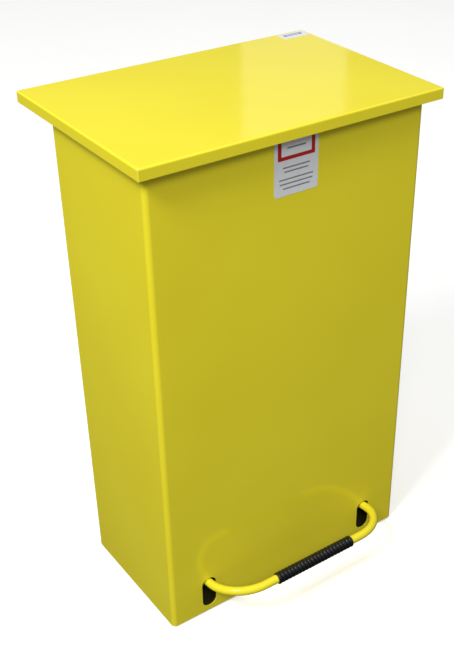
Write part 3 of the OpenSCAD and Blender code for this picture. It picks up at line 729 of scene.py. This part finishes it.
class PEDALBIN_OT_rivets(bpy.types.Operator):
    """Sets the blind rivets where their holes are"""
    bl_idname = "pedalbin.rivets"
    bl_label = "Rivets"

    def execute(self, context):
        settings = context.scene.pedal_bin.fixing
        tree, sizes = geometry_tree("blind_rivets", {
            "Head radius": "Float", "Head rise": "Float", "Shank radius": "Float",
            "Tail radius": "Float", "Tail height": "Float", "Grip": "Float",
            "Turn": "Rotation"})
        ball = add(tree, "GeometryNodeMeshUVSphere", {
            "Segments": 24, "Rings": 12, "Radius": 1.0})
        # The lower half of the head is pressed flat on the sheet
        flat_at = -0.1
        at = add(tree, "GeometryNodeInputPosition").outputs[0]
        parts = add(tree, "ShaderNodeSeparateXYZ", {"Vector": at}).outputs
        across, along = (
            add(tree, "ShaderNodeMath", {0: parts[way], 1: sizes["Head radius"]},
                operation="MULTIPLY").outputs[0]
            for way in "XY")
        domed = add(tree, "ShaderNodeMath", {0: parts["Z"], 1: flat_at}, operation="MAXIMUM")
        rise = add(tree, "ShaderNodeMath", {0: domed, 1: sizes["Head rise"]},
                   operation="MULTIPLY")
        pressed = add(tree, "ShaderNodeCombineXYZ", {"X": across, "Y": along, "Z": rise})
        head = add(tree, "GeometryNodeSetPosition", {
            "Geometry": ball.outputs[0], "Position": pressed.outputs[0]})
        shank = add(tree, "GeometryNodeMeshCylinder", {
            "Vertices": 16, "Radius": sizes["Shank radius"], "Depth": sizes["Grip"]})
        half_grip = add(tree, "ShaderNodeMath", {0: sizes["Grip"], 1: -0.5},
                        operation="MULTIPLY")
        shank_drop = add(tree, "ShaderNodeCombineXYZ", {"Z": half_grip})
        shank_low = add(tree, "GeometryNodeTransform", {
            "Geometry": shank.outputs[0], "Translation": shank_drop.outputs[0]})
        tail = add(tree, "GeometryNodeMeshCylinder", {
            "Vertices": 16, "Radius": sizes["Tail radius"], "Depth": sizes["Tail height"]})
        half_tail = add(tree, "ShaderNodeMath", {0: sizes["Tail height"], 1: 0.5},
                        operation="MULTIPLY")
        depth = add(tree, "ShaderNodeMath", {0: half_tail, 1: sizes["Grip"]},
                    operation="ADD")
        down = add(tree, "ShaderNodeMath", {0: depth, 1: -1.0}, operation="MULTIPLY")
        tail_drop = add(tree, "ShaderNodeCombineXYZ", {"Z": down})
        tail_low = add(tree, "GeometryNodeTransform", {
            "Geometry": tail.outputs[0], "Translation": tail_drop.outputs[0]})
        rivet = add(tree, "GeometryNodeJoinGeometry")
        for part in (head, shank_low, tail_low):
            tree.links.new(part.outputs[0], rivet.inputs[0])
        rows = add(tree, "GeometryNodeInstanceOnPoints", {
            "Points": sizes["Geometry"], "Instance": rivet.outputs[0],
            "Rotation": sizes["Turn"]})
        close_tree(tree, rows.outputs[0], MATERIALS["powder_coat"])

        backwards, upwards = Euler((-math.pi / 2, 0, 0)), Euler((0, 0, 0))
        for node, slot, turn in (
                ("back_rivets", "powder_coat", backwards),
                ("hinge_rivets", "powder_coat", backwards),
                ("guide_rivets", "zinc_plate", backwards),
                ("bracket_rivets", "zinc_plate", upwards)):
            boxes = lone_boxes(node)
            out = 1 if turn == backwards else 2
            deep = boxes[0][1][out] - boxes[0][0][out]
            points = []
            for low, high in boxes:
                point = (low + high) / 2
                point[out] = high[out] - settings.rise
                points.append(point)
            piece = run_tree(node + "_finished", paths(node, points), tree, {
                "Head radius": settings.head, "Head rise": settings.rise,
                "Shank radius": settings.shank, "Tail radius": settings.tail,
                "Tail height": settings.tail_height,
                "Grip": deep - settings.rise - settings.tail_height,
                "Turn": turn}, MATERIALS[slot])
            edge_sharpened(piece, math.radians(50))
            finish_piece(piece, "body", slot, node)
        return {"FINISHED"}


class PEDALBIN_OT_mechanism(bpy.types.Operator):
    """Rounds the edges of the plated brackets, guides and levers"""
    bl_idname = "pedalbin.mechanism"
    bl_label = "Mechanism"

    def execute(self, context):
        for node in ("pivot_bracket_left", "pivot_bracket_right", "rod_guide_upper",
                     "rod_guide_lower", "pedal_lever", "rod_clevis", "rod_head"):
            sheet_piece(node, MATERIALS["zinc_plate"], "zinc_plate")
        return {"FINISHED"}


class PEDALBIN_OT_labels(bpy.types.Operator):
    """Sticks the blank label on the front and the sticker on the lid"""
    bl_idname = "pedalbin.labels"
    bl_label = "Labels"

    def execute(self, context):
        settings = context.scene.pedal_bin.label
        band, rule, film = (tuple(c) for c in (settings.band, settings.rule, settings.film))
        # A plain red frame with a blank field and one line in it, and ruled lines below
        sign = 19 * MM
        line = 0.9 * MM
        marks = [(0, sign, 26 * MM, 14 * MM, band),
                 (0, sign, 21 * MM, 9.5 * MM, film),
                 (0, sign, 13 * MM, 1.0 * MM, rule)]
        marks += [(0, up * MM, half * MM, line, rule)
                  for up, half in ((-4, 19), (-9, 17), (-18, 24), (-23.5, 23), (-29, 19))]
        front = printed_film("white_vinyl_front", settings, middle("front_label"), "Y", marks)
        self.stick("front_label", front, "body", (0, 2), 1, settings.corner)

        # A plain blue bar with a blank slot in it
        blue = linear("#5F6B8C")
        bar = 1.5 * MM
        marks = [(0, bar, 14 * MM, 3.2 * MM, blue), (0, bar, 11 * MM, 1.2 * MM, film)]
        top = printed_film("white_vinyl_lid", settings, middle("lid_sticker"), "Z", marks)
        self.stick("lid_sticker", top, "lid", (0, 1), 2, settings.corner * 0.6)
        return {"FINISHED"}

    def stick(self, node, material, body, flat, deep, radius):
        """A film with round corners and a rounded rim in a part's box."""
        low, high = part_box(node)
        steps = 8
        outline = []
        for corner, sides in enumerate(((1, 1), (0, 1), (0, 0), (1, 0))):
            for step in range(steps + 1):
                turn = (corner + step / steps) * math.pi / 2
                point = []
                for axis, side, way in zip(flat, sides, (math.cos(turn), math.sin(turn))):
                    edge = (low, high)[side][axis]
                    point.append(edge + (-radius if side else radius) + way * radius)
                outline.append(point)
        shape = bmesh.new()
        rings = []
        for level in (low[deep], high[deep]):
            ring = []
            for point in outline:
                place = [0.0, 0.0, 0.0]
                place[deep] = level
                for axis, value in zip(flat, point):
                    place[axis] = value
                ring.append(shape.verts.new(place))
            rings.append(ring)
        total = len(outline)
        for i in range(total):
            shape.faces.new((rings[0][i], rings[0][(i + 1) % total],
                             rings[1][(i + 1) % total], rings[1][i]))
        shape.faces.new(rings[0])
        shape.faces.new(rings[1])
        bmesh.ops.recalc_face_normals(shape, faces=shape.faces)
        mesh = bpy.data.meshes.new(node)
        shape.to_mesh(mesh)
        shape.free()
        piece = link(node + "_finished", mesh, material)
        rim = piece.modifiers.new("rim", "BEVEL")
        rim.width = 0.1 * MM
        rim.segments = 2
        rim.limit_method = "ANGLE"
        rim.angle_limit = math.radians(60)
        finish_piece(piece, body, "label_film", node)


def area_light(name, place, aim, width, height, power, colour, seen=True):
    """A soft rectangular light that faces a point."""
    lamp = bpy.data.lights.new(name, "AREA")
    lamp.shape = "RECTANGLE"
    lamp.size, lamp.size_y = width, height
    lamp.energy = power
    lamp.color = colour
    light = bpy.data.objects.new(name, lamp)
    light.location = place
    light.rotation_euler = (Vector(aim) - Vector(place)).to_track_quat("-Z", "Y").to_euler()
    light.visible_camera = False
    light.visible_glossy = seen
    bpy.context.scene.collection.objects.link(light)
    return light


class PEDALBIN_OT_stage(bpy.types.Operator):
    """Sets the camera, the soft lights and the pale floor"""
    bl_idname = "pedalbin.stage"
    bl_label = "Stage"

    def execute(self, context):
        scene = context.scene
        settings = scene.pedal_bin.studio
        camera = bpy.data.objects.new("camera", bpy.data.cameras.new("camera"))
        camera.data.lens = settings.lens
        camera.data.sensor_width = settings.sensor
        camera.data.shift_x, camera.data.shift_y = settings.shift
        camera.data.clip_start = 0.05
        camera.location = settings.place
        camera.rotation_euler = settings.turn
        scene.collection.objects.link(camera)
        scene.camera = camera

        half = 12.0
        mesh = bpy.data.meshes.new("floor")
        mesh.from_pydata([(-half, -half, 0), (half, -half, 0), (half, half, 0),
                          (-half, half, 0)], [], [(0, 1, 2, 3)])
        material, tree, shader, place = new_material("pale_matt_floor")
        colour = drifting(tree, place, 0.4, tuple(settings.floor), linear("#F4F4F2"), share=0.3)
        tree.links.new(colour, shader.inputs["Base Color"])
        shader.inputs["Roughness"].default_value = 0.9
        shader.inputs["Emission Color"].default_value = (1.0, 1.0, 1.0, 1.0)
        shader.inputs["Emission Strength"].default_value = 0.3
        floor = link("floor", mesh, material)
        floor.visible_glossy = False
        floor.visible_diffuse = False

        self.room(scene, settings)
        warm, white = (1.0, 0.99, 0.96), (1.0, 1.0, 1.0)
        aim = (0, 0, 0.4)
        area_light("key", place=(-1.95, -0.62, 2.6), aim=aim, width=0.8, height=0.8,
                   power=settings.key, colour=warm)
        area_light("fill", place=(-1.3, -2.0, 2.4), aim=aim, width=0.9, height=0.7,
                   power=settings.fill, colour=warm, seen=False)
        # An upright pane behind the bin that the lid mirrors as one pale band
        area_light("window", place=(1.77, 2.25, 1.68), aim=(0, 0, 1.68), width=0.4,
                   height=2.0, power=settings.window, colour=white)
        scene.view_settings.view_transform = "Standard"
        return {"FINISHED"}

    def room(self, scene, settings):
        """A bright room above, a dimmer one in the gloss, white where the camera looks past."""
        world = bpy.data.worlds.new("room")
        world.use_nodes = True
        scene.world = world
        tree = world.node_tree
        tree.nodes.clear()
        way = add(tree, "ShaderNodeTexCoord").outputs["Generated"]
        up = add(tree, "ShaderNodeSeparateXYZ", {"Vector": way}).outputs["Z"]

        def glow(ground, walls, ceiling):
            low = add(tree, "ShaderNodeMapRange", {
                "Value": up, "From Min": -0.15, "From Max": 0.1, "To Min": ground,
                "To Max": walls}, interpolation_type="SMOOTHSTEP")
            high = add(tree, "ShaderNodeMapRange", {
                "Value": up, "From Min": 0.4, "From Max": 0.75, "To Min": 0.0,
                "To Max": ceiling - walls}, interpolation_type="SMOOTHSTEP")
            strength = add(tree, "ShaderNodeMath", {0: low, 1: high}, operation="ADD")
            return add(tree, "ShaderNodeBackground", {
                "Color": (1.0, 1.0, 1.0, 1.0), "Strength": strength}).outputs[0]

        lit = glow(settings.dim, settings.walls, settings.sky)
        mirrored = glow(settings.mirrored_floor, settings.mirrored_walls, settings.sky)
        white = add(tree, "ShaderNodeBackground", {
            "Color": (1.0, 1.0, 1.0, 1.0), "Strength": 1.0}).outputs[0]
        ray = add(tree, "ShaderNodeLightPath").outputs
        soft = add(tree, "ShaderNodeMixShader", {0: ray["Is Glossy Ray"], 1: lit, 2: mirrored})
        both = add(tree, "ShaderNodeMixShader", {
            0: ray["Is Camera Ray"], 1: soft.outputs[0], 2: white})
        add(tree, "ShaderNodeOutputWorld", {"Surface": both.outputs[0]})


STEPS = (PEDALBIN_OT_finishes, PEDALBIN_OT_body, PEDALBIN_OT_lid, PEDALBIN_OT_pedal_bar,
         PEDALBIN_OT_pedal_sleeve, PEDALBIN_OT_rivets, PEDALBIN_OT_mechanism,
         PEDALBIN_OT_labels, PEDALBIN_OT_stage)


class PEDALBIN_PT_panel(bpy.types.Panel):
    """Lists the steps that finish the bin"""
    bl_idname = "PEDALBIN_PT_panel"
    bl_label = "Pedal Bin"
    bl_space_type = "VIEW_3D"
    bl_region_type = "UI"
    bl_category = "Pedal Bin"

    def draw(self, context):
        for step in STEPS:
            self.layout.operator(step.bl_idname)


CLASSES = (PaintSettings, SheetSettings, PedalSettings, FixingSettings, LabelSettings,
           StudioSettings, PedalBinSettings) + STEPS + (PEDALBIN_PT_panel,)


def register():
    """Registers the classes and puts the settings on the scene."""
    for kind in CLASSES:
        bpy.utils.register_class(kind)
    bpy.types.Scene.pedal_bin = PointerProperty(type=PedalBinSettings)


def unregister():
    """Takes the settings and the classes away again."""
    del bpy.types.Scene.pedal_bin
    for kind in reversed(CLASSES):
        bpy.utils.unregister_class(kind)


def main():
    """Finishes the bin step by step."""
    register()
    for step in STEPS:
        group, call = step.bl_idname.split(".")
        getattr(getattr(bpy.ops, group), call)()


if __name__ == "__main__":
    main()
